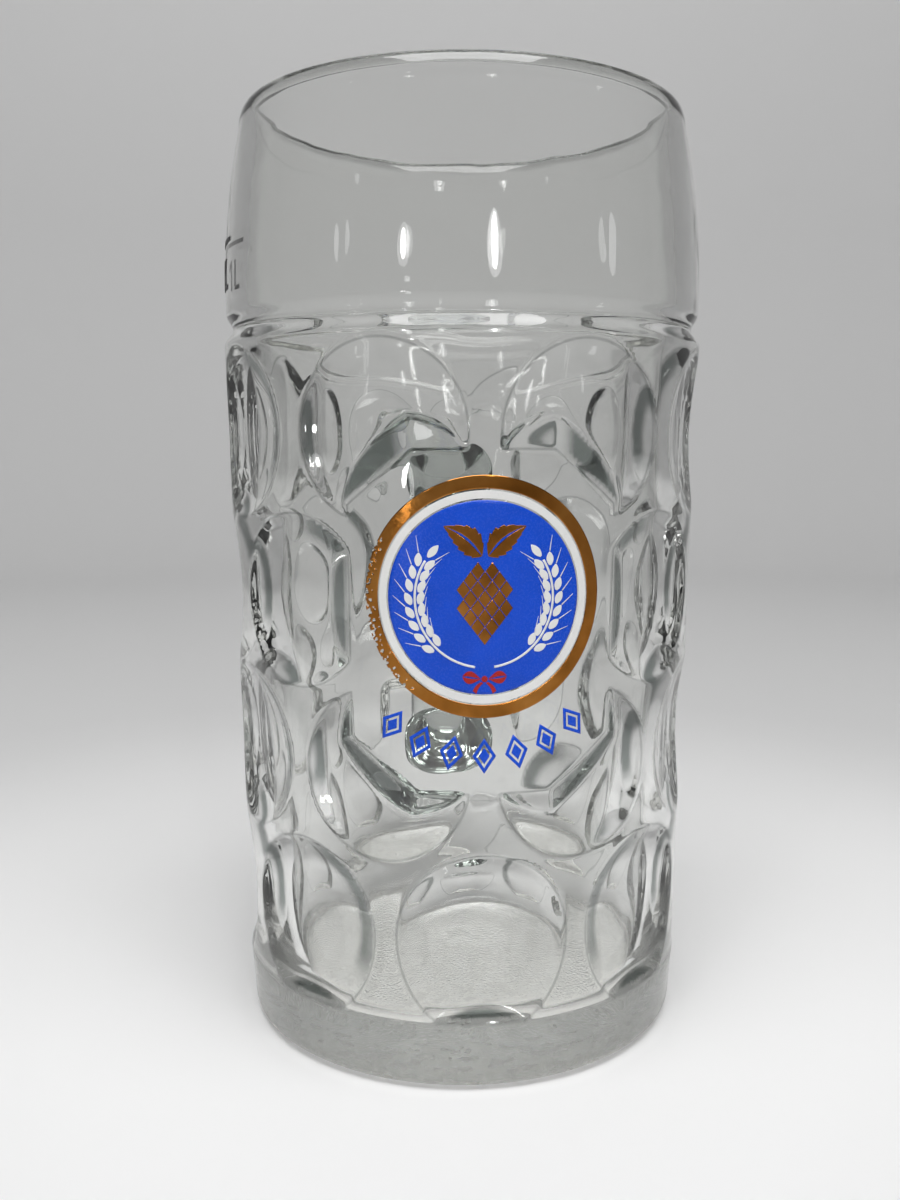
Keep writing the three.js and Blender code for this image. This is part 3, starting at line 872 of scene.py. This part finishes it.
# Lays flat patches, grids of points across and up from a seat's middle, round the wall.
# A patch drawn the other way about is turned over first, so that all face outwards.
def layInk(name, node, patches, seat, layer, colour, drop=None):
    top, thickness = layer
    material, slot = colour
    points, faces, first = [], [], 0
    for patch in patches:
        rows, columns = patch.shape[:2]
        toRight = patch[0, 1] - patch[0, 0]
        upwards = patch[1, 0] - patch[0, 0]
        middle = (patch[-1, -1] - patch[0, 0], patch[-1, 0] - patch[0, -1])
        facing = middle[0][0] * middle[1][1] - middle[0][1] * middle[1][0]
        if abs(facing) < 1e-9:
            facing = toRight[0] * upwards[1] - toRight[1] * upwards[0]
        if facing < 0:
            patch = patch[:, ::-1]
        z = seat["height"] + patch[..., 1]
        azimuth = seat["azimuth"] + patch[..., 0] / seat["radius"](seat["height"])
        radius = seat["radius"](z) + top
        points.append(np.stack(
            [radius * np.sin(azimuth), -radius * np.cos(azimuth), z], axis=-1).reshape(-1, 3))
        quads = gridFaces(rows, columns, False, first)
        if drop is not None:
            quads = quads[~drop.reshape(-1)]
        faces += quads.tolist()
        first += rows * columns
    piece = addMesh(name, np.concatenate(points), faces)
    solid = piece.modifiers.new("inkThickness", "SOLIDIFY")
    solid.thickness = thickness * mm
    solid.offset = -1
    return settle(piece, material, node)


# A ring or part of one between two radii, angles in radians from the right, turning left
def ringPatch(inner, outer, columns, rows, start=0.0, sweep=2 * np.pi):
    turn = start + np.linspace(0, sweep, columns + 1)[None, :]
    radius = np.linspace(outer, inner, rows + 1)[:, None]
    return np.stack([radius * np.cos(turn), radius * np.sin(turn)], axis=-1)


# A square pulled into a disc: each side of the grid bends out by the root of 1 - half a square
def discPatch(radius, count):
    u, v = np.meshgrid(np.linspace(-1, 1, count + 1), np.linspace(-1, 1, count + 1))
    return radius * np.stack([u * np.sqrt(1 - v * v / 2), v * np.sqrt(1 - u * u / 2)], axis=-1)


# A long patch about a line from start to end, its half width a function of the share along it
def bladePatch(start, end, halfWidth, steps=14, bend=0.0, sides=(-1, 1)):
    start, end = np.array(start, float), np.array(end, float)
    share = np.linspace(0, 1, steps + 1)
    along = end - start
    normal = np.array([-along[1], along[0]]) / np.linalg.norm(along)
    line = start + share[:, None] * along + (bend * np.sin(np.pi * share))[:, None] * normal
    width = halfWidth(share)[:, None, None]
    side = mix(sides[0], sides[1], np.array([0, 0.07, 0.5, 0.93, 1]))[None, :, None]
    return line[:, None, :] + normal * width * side


print("colours mixed")


# Emblem: rings, field and a hop and barley design

emblem = {
    "goldWidth": 2.5,
    "whiteWidth": 1.5,
    "gap": 0.3,
    "flakeFrom": 150.0,  # degrees, the worn stretch of the gold ring
    "flakeTo": 232.0,
    "flakeLimit": -0.7,  # lower for more flakes
    "flakeInwards": 1.7,  # how fast they thin out inwards
    "flakeEnds": 1.8,  # and towards the ends of the stretch
    "goldSteps": (720, 12),
    "whiteSteps": (240, 20),
    "fieldSteps": 60,
}
goldInside = emblemRadius - emblem["goldWidth"]
whiteOutside = goldInside - emblem["gap"]
whiteInside = whiteOutside - emblem["whiteWidth"]
fieldRadius = whiteInside - emblem["gap"]


# Cells missing from the gold ring: where a sum of sines along and across it, in millimetres,
# passes a limit that rises inwards from the outer edge and towards the ends of the worn stretch
def goldFlakes(columns, rows):
    turn = (np.arange(columns)[None, :] + 0.5) / columns * 360
    across = (np.arange(rows)[:, None] + 0.5) / rows * emblem["goldWidth"]
    along = np.radians(turn) * emblemRadius
    middle = (emblem["flakeFrom"] + emblem["flakeTo"]) / 2
    reach = 1 - np.abs(turn - middle) / (emblem["flakeTo"] - middle)
    speckle = (
        np.sin(3.1 * along + 1.7 * across)
        + np.sin(4.7 * along - 2.9 * across + 1.0)
        + np.sin(1.3 * along + 5.1 * across + 2.0)
        + np.sin(7.3 * along + 3.3 * across + 0.5)
        + np.sin(2.2 * along - 6.1 * across + 4.0)
    )
    limit = emblem["flakeLimit"] + emblem["flakeInwards"] * across
    return (reach > 0) & (speckle > limit + emblem["flakeEnds"] * (1 - reach))


goldRing = ringPatch(goldInside, emblemRadius, *emblem["goldSteps"])
whiteRing = ringPatch(whiteInside, whiteOutside, *emblem["whiteSteps"])
blueDisc = discPatch(fieldRadius, emblem["fieldSteps"])
flakes = goldFlakes(*emblem["goldSteps"])
layInk("GoldBorder", "emblem_gold_border", [goldRing], printSeat, inks["base"], firedGold, flakes)
layInk("WhiteRing", "emblem_white_ring", [whiteRing], printSeat, inks["base"], whiteEnamel)
layInk("BlueField", "emblem_blue_field", [blueDisc], printSeat, inks["base"], blueEnamel)

hopCone = {
    "middle": -1.0,
    "height": 15.6,
    "counts": (2, 3, 4, 3, 4, 3, 2, 1),
    "pitch": 2.7,
    "scaleWidth": 2.44,
    "scaleHeight": 3.25,
}


# Scales in staggered rows, each a diamond that narrows evenly from its middle to both ends
def hopScales():
    rows = len(hopCone["counts"])
    step = (hopCone["height"] - hopCone["scaleHeight"]) / (rows - 1)
    patches = []
    for row, count in enumerate(hopCone["counts"]):
        top = hopCone["middle"] + hopCone["height"] / 2 - row * step
        for k in range(count):
            x = (k - (count - 1) / 2) * hopCone["pitch"]
            patches.append(bladePatch(
                (x, top), (x, top - hopCone["scaleHeight"]),
                lambda share: 0.03 + hopCone["scaleWidth"] / 2 * (1 - np.abs(2 * share - 1)),
            ))
    return patches


layInk("HopCone", "emblem_hop_cone", hopScales(), printSeat, inks["motif"], firedGold)

hopLeaf = {
    "foot": 8.0,
    "length": 9.0,
    "angle": 38.0,
    "halfWidth": 2.5,
    "teeth": 6,
    "vein": 0.09,
    "apart": 0.6,  # of each leaf's foot from the middle
    "bend": 0.8,
    "steps": 48,
}


# A pointed leaf in two halves with a bare vein between them, its edge notched by a saw wave
def leafHalves(side):
    angle = math.radians(hopLeaf["angle"])
    start = np.array([side * hopLeaf["apart"], hopLeaf["foot"]])
    end = start + hopLeaf["length"] * np.array([side * math.cos(angle), math.sin(angle)])

    def outline(share):
        saw = (share * hopLeaf["teeth"]) % 1
        return hopLeaf["halfWidth"] * np.sin(np.pi * share ** 0.75) * (0.86 + 0.2 * saw) + 0.05

    bend = side * hopLeaf["bend"]
    return [
        bladePatch(start, end, outline, hopLeaf["steps"], bend, (hopLeaf["vein"], 1)),
        bladePatch(start, end, outline, hopLeaf["steps"], bend, (-1, -hopLeaf["vein"])),
    ]


for side, word in ((-1, "left"), (1, "right")):
    layInk(
        "HopLeaf_" + word, "emblem_hop_leaf_" + word, leafHalves(side), printSeat,
        inks["motif"], firedGold,
    )

barley = {
    "radius": 13.2,
    "start": 8.0,
    "sweep": 118.0,
    "stemShare": 0.3,
    "stemHalf": 0.22,
    "stemEnd": 0.97,
    "grains": 8,
    "grainLength": 3.0,
    "grainHalf": 0.72,
    "grainGap": 0.5,  # from the stem
    "grainTilt": 22.0,
    "sideGrain": 0.86,  # a side grain's length, as a share of the tip's
    "tipTilt": -6.0,
    "awnGap": 0.12,
    "awnLength": 3.2,
    "awnTilt": 34.0,
    "awnHalf": 0.1,
}


# An ear along an arc: a stem, then pairs of pointed grains set off to both sides, each with
# an awn that leans out further, and one grain at the tip
def barleyEar(side):
    def turnAt(share):
        return np.radians(-90 + side * (barley["start"] + barley["sweep"] * share))

    def at(share, offset):
        turn = turnAt(share)
        radius = barley["radius"] + offset
        return np.array([radius * math.cos(turn), radius * math.sin(turn)])

    def heading(share, lean):
        turn = turnAt(share)
        tilt = math.radians(lean)
        forward = side * np.array([-math.sin(turn), math.cos(turn)])
        outward = np.array([math.cos(turn), math.sin(turn)])
        return math.cos(tilt) * forward + math.sin(tilt) * outward

    def grainShape(share):
        return barley["grainHalf"] * np.sin(np.pi * (0.06 + 0.93 * share)) ** 0.8

    def awnShape(share):
        return barley["awnHalf"] * (1 - 0.75 * share)

    turns = turnAt(np.linspace(0, barley["stemEnd"], 61))
    radii = barley["radius"] + np.array([-barley["stemHalf"], 0, barley["stemHalf"]])
    stem = np.stack([radii * np.cos(turns)[:, None], radii * np.sin(turns)[:, None]], axis=-1)
    patches = [stem]
    step = (1 - barley["stemShare"]) / barley["grains"]
    for k in range(barley["grains"]):
        share = barley["stemShare"] + k * step
        for out in (-1, 1):
            foot = at(share, out * (barley["stemHalf"] + barley["grainGap"]))
            way = heading(share, out * barley["grainTilt"])
            tip = foot + barley["grainLength"] * barley["sideGrain"] * way
            patches.append(bladePatch(foot, tip, grainShape, 12))
            awn = heading(share, out * barley["awnTilt"])
            awnFoot, awnTip = tip + barley["awnGap"] * awn, tip + barley["awnLength"] * awn
            patches.append(bladePatch(awnFoot, awnTip, awnShape, 6))
    foot = at(1.0, 0)
    tip = foot + barley["grainLength"] * heading(1.0, barley["tipTilt"])
    patches.append(bladePatch(foot, tip, grainShape, 12))
    return patches


for side, word in ((-1, "left"), (1, "right")):
    layInk(
        "BarleyEar_" + word, "emblem_barley_" + word, barleyEar(side), printSeat,
        inks["motif"], whiteEnamel,
    )

ribbon = {
    "height": -15.4,
    "loop": 3.6,
    "loopHalf": 1.15,
    "loopRise": 0.5,
    "slit": 0.16,  # share of a loop's width left bare along its middle
    "tail": 2.6,
    "tailHalf": 0.45,
    "tailFoot": 0.45,
    "tailSpread": 1.9,
    "tailBend": 0.25,
    "knot": 0.6,
    "knotGap": 0.15,
}


# A bow: two teardrop loops in halves with a slit between them, two tails and a round knot
def ribbonBow():
    y = ribbon["height"]

    def loopShape(share):
        return ribbon["loopHalf"] * np.sin(np.pi * share ** 1.4) ** 0.8 + 0.08

    def tailShape(share):
        return ribbon["tailHalf"] * (0.5 + 0.5 * share)

    patches = [discPatch(ribbon["knot"], 8) + np.array([0, y])]
    for side in (-1, 1):
        start = (side * (ribbon["knot"] + ribbon["knotGap"]), y)
        end = (side * (ribbon["knot"] + ribbon["loop"]), y + ribbon["loopRise"])
        for half in ((ribbon["slit"], 1), (-1, -ribbon["slit"])):
            patches.append(bladePatch(start, end, loopShape, 20, 0.0, half))
        foot = (side * ribbon["tailFoot"], y - ribbon["knot"] - 0.1)
        tip = (side * ribbon["tailSpread"], y - ribbon["tail"])
        patches.append(bladePatch(foot, tip, tailShape, 8, side * ribbon["tailBend"]))
    return patches


layInk("RibbonBow", "emblem_ribbon", ribbonBow(), printSeat, inks["motif"], redEnamel)
print("emblem printed")


# Arc of lozenges: each a frame with a smaller lozenge inside it
lozenges = {
    "count": 7,
    "pitch": 12.0,
    "radius": emblemRadius + 7.5,
    "halfWidth": 2.3,
    "halfHeight": 3.5,
    "frameInside": 0.68,
    "core": 0.46,
}


# A diamond frame is four mitred bars between two scales, its core a square on its corner
def lozengePatches(index):
    turn = math.radians(-90 + (index - (lozenges["count"] - 1) / 2) * lozenges["pitch"])
    outward = np.array([math.cos(turn), math.sin(turn)])
    beside = np.array([-outward[1], outward[0]])
    corner = np.linspace(0, 2 * np.pi, 5)
    shape = np.stack([
        lozenges["halfHeight"] * np.cos(corner),
        lozenges["halfWidth"] * np.sin(corner),
    ], axis=-1)
    bars = []
    for k in range(4):
        side = mix(shape[k], shape[k + 1], np.linspace(0, 1, 7)[:, None])
        bars.append(np.stack([side, side * lozenges["frameInside"]]))
    u, v = np.meshgrid(np.linspace(-1, 1, 7), np.linspace(-1, 1, 7))
    core = lozenges["core"] * np.stack([
        lozenges["halfHeight"] * (u + v) / 2,
        lozenges["halfWidth"] * (v - u) / 2,
    ], axis=-1)
    return [
        lozenges["radius"] * outward + flat[..., :1] * outward + flat[..., 1:] * beside
        for flat in bars + [core]
    ]


for index in range(lozenges["count"]):
    layInk(
        "Lozenge_%d" % (index + 1), "lozenge_%d" % (index + 1), lozengePatches(index), printSeat,
        inks["base"], blueEnamel,
    )
print("lozenges printed")


# Fill mark on the drinking band: the litre line with a figure and its unit below
lineLow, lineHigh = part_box("fill_line")
mark = {
    "azimuth": -80.0,
    "length": 14.0,
    "width": 0.9,
    "figureHeight": 6.5,
    "drop": 3.0,
    "stroke": 1.0,
    "flag": 1.5,
    "flagStroke": 0.8,  # as a share of the stroke
    "foot": 3.4,
    "spacing": 2.2,
}
markSeat = {
    "azimuth": math.radians(mark["azimuth"]),
    "height": (lineLow.z + lineHigh.z) / 2 / mm,
    "radius": bandRadiusAt,
}


# A stroke between two points: a strip with square ends
def strokePatch(start, end, width, steps=6):
    return bladePatch(start, end, lambda share: np.full(share.shape, width / 2), steps)


def printFillMark():
    half = mark["length"] / 2
    top = -mark["width"] / 2 - mark["drop"]
    base = top - mark["figureHeight"]
    stroke = mark["stroke"]
    left = -mark["spacing"] / 2 - stroke / 2
    right = mark["spacing"] / 2 + stroke / 2
    line = [strokePatch((-half, 0), (half, 0), mark["width"], 28)]
    layInk("FillLine", "fill_line", line, markSeat, inks["base"], blackEnamel)
    numeral = [
        strokePatch((left, base), (left, top), stroke, 10),
        strokePatch((left - stroke / 2 - mark["flag"], top - mark["flag"] - stroke / 2),
                    (left - stroke / 2, top - stroke / 2), stroke * mark["flagStroke"]),
    ]
    layInk("VolumeNumeral", "volume_numeral", numeral, markSeat, inks["base"], blackEnamel)
    unit = [
        strokePatch((right, base), (right, top), stroke, 10),
        strokePatch((right + stroke / 2, base + stroke / 2),
                    (right - stroke / 2 + mark["foot"], base + stroke / 2), stroke),
    ]
    layInk("VolumeUnit", "volume_unit", unit, markSeat, inks["base"], blackEnamel)


printFillMark()
print("fill mark printed")


# Studio: a pale floor that sweeps up into a wall all round, its painted shade darker outside a
# wedge behind the mug, with a soft light overhead, a wash on the backdrop and small windows of
# light
studio = {
    "floorDrop": 0.3,
    "floorRadius": 900.0,
    "sweepRadius": 400.0,
    "wallHeight": 1300.0,
    "columns": 240,
    "pale": 0.88,
    "farFloor": 0.61,
    "farFrom": 40.0,
    "farFade": 280.0,
    "backdrop": 0.63,
    "backdropFade": 450.0,  # height over which the floor's tone goes over into it
    "dark": 0.46,
    "darkFrom": 520.0,  # nothing is dark nearer than this
    "darkFade": 250.0,
    "wedgeFrom": 265.0,  # the wedge starts this far in front of the mug
    "wedgeSpread": 0.40,  # its half width per length
    "wedgeTurn": 0.084,
    "wedgeEdge": 1.04,
    "wedgeFade": 0.25,
    "underGlow": 0.42,  # painted light: the floor glows under the foot, standing in for light the clear foot lets through
    "glowFade": 6.0,
    "world": 0.16,
    "aim": 120.0,  # height that the windows look at
    "windows": (  # name, azimuth, distance, height, size and power
        ("frontWindowRight", 9.6, 850, 336, (38, 165), 0.42),
        ("frontGlowRight", 9.6, 860, 322, (90, 215), 0.22),
        ("frontWindowLeft", -30.5, 850, 334, (34, 85), 0.18),
        ("frontGlowLeft", -30.5, 860, 328, (80, 125), 0.09),
        ("lowWindowLeft", -30.5, 850, 84, (40, 60), 0.2),
        ("sideWindowRight", 66, 850, 330, (60, 150), 0.07),
        ("sideWindowLeft", -61.4, 850, 336, (36, 100), 0.03),
    ),
}


# The floor's profile, flat, a quarter round and a wall, turned about the axis. Its painted shade
# falls from pale at the mug to the far floor and the backdrop, and to dark outside the wedge. Its
# painted light is a glowing disc under the foot.
def makeFloor():
    columns = studio["columns"]
    near = np.linspace(0, body["footRadius"] + studio["glowFade"], 16)
    flat = np.concatenate([near, np.linspace(near[-1], studio["floorRadius"], 24)[1:]])
    turn = np.linspace(0, np.pi / 2, 14)[1:]
    bendRadius = studio["floorRadius"] + studio["sweepRadius"] * np.sin(turn)
    bendHeight = studio["sweepRadius"] * (1 - np.cos(turn))
    wall = np.linspace(studio["sweepRadius"], studio["wallHeight"], 8)[1:]
    radius = np.concatenate([flat, bendRadius, np.full(wall.shape, bendRadius[-1])])[:, None]
    z = np.concatenate([np.zeros(flat.shape), bendHeight, wall])[:, None] - studio["floorDrop"]
    azimuth = np.linspace(0, 2 * np.pi, columns, endpoint=False)[None, :]
    points = np.stack([
        radius * np.cos(azimuth), radius * np.sin(azimuth), np.broadcast_to(z, (len(z), columns)),
    ], axis=-1)
    piece = addMesh("StudioFloor", points, gridFaces(len(z), columns, True)[:, ::-1].tolist())
    place = meshPoints(piece)
    reach = np.hypot(place[:, 0], place[:, 1])
    run = np.maximum(place[:, 1] + studio["wedgeFrom"], 1)
    middle = studio["wedgeTurn"] * (run - studio["wedgeFrom"])
    offMiddle = np.abs(place[:, 0] - middle) / (studio["wedgeSpread"] * run)
    beside = smoothStep((offMiddle - studio["wedgeEdge"]) / studio["wedgeFade"])
    outer = smoothStep((reach - studio["darkFrom"]) / studio["darkFade"])
    far = smoothStep((reach - studio["farFrom"]) / studio["farFade"])
    behind = mix(studio["pale"], studio["farFloor"], far)
    behind = mix(behind, studio["backdrop"], smoothStep(place[:, 2] / studio["backdropFade"]))
    # Painted shade: darker away from the mug, up the backdrop and outside the wedge
    shade = mix(behind, studio["dark"], beside * outer)
    # Painted light: the floor glows in a disc under the foot
    glow = studio["underGlow"] * smoothStep((body["footRadius"] - reach) / studio["glowFade"])
    storeValues(piece, shade=shade, glow=glow)
    material, nodes, links, shader = newMaterial("paleFloor", {"Roughness": 0.9})
    shader.inputs["Emission Color"].default_value = (1, 1, 1, 1)
    links.new(meshValue(nodes, "shade"), shader.inputs["Base Color"])
    links.new(meshValue(nodes, "glow"), shader.inputs["Emission Strength"])
    piece.data.materials.append(material)


# An area light that looks at a height of the mug's axis, or away from it
def addLight(name, shape, azimuth, distance, height, size, power, aim, facing=1):
    data = bpy.data.lights.new(name, "AREA")
    data.shape = shape
    data.size, data.size_y = size[0] * mm, size[1] * mm
    data.energy = power
    lamp = bpy.data.objects.new(name, data)
    turn = math.radians(azimuth)
    place = np.array([distance * math.sin(turn), -distance * math.cos(turn), height])
    lamp.location = place * mm
    run = np.hypot(place[0], place[1])
    lamp.rotation_euler = (facing * math.atan2(run, height - aim), 0, turn)
    bpy.context.scene.collection.objects.link(lamp)


def makeStudio():
    makeFloor()
    addLight("overheadSoftbox", "RECTANGLE", 0, 420, 1200, (1000, 700), 14.2, 0)
    addLight("backdropWash", "RECTANGLE", 180, 560, 1200, (900, 300), 2.8, 700, -1)
    for name, *setting in studio["windows"]:
        addLight(name, "ELLIPSE", *setting, studio["aim"])
    world = bpy.data.worlds.new("studioRoom")
    world.use_nodes = True
    world.node_tree.nodes["Background"].inputs["Color"].default_value = (1, 1, 1, 1)
    world.node_tree.nodes["Background"].inputs["Strength"].default_value = studio["world"]
    scene = bpy.context.scene
    scene.world = world
    scene.view_settings.view_transform = "Standard"
    scene.cycles.max_bounces = 24
    scene.cycles.transmission_bounces = 24
    scene.cycles.glossy_bounces = 8
    scene.cycles.caustics_refractive = True
    scene.cycles.caustics_reflective = True
    scene.cycles.sample_clamp_indirect = 6.0
    scene.cycles.use_denoising = True


makeStudio()
print("studio lit")
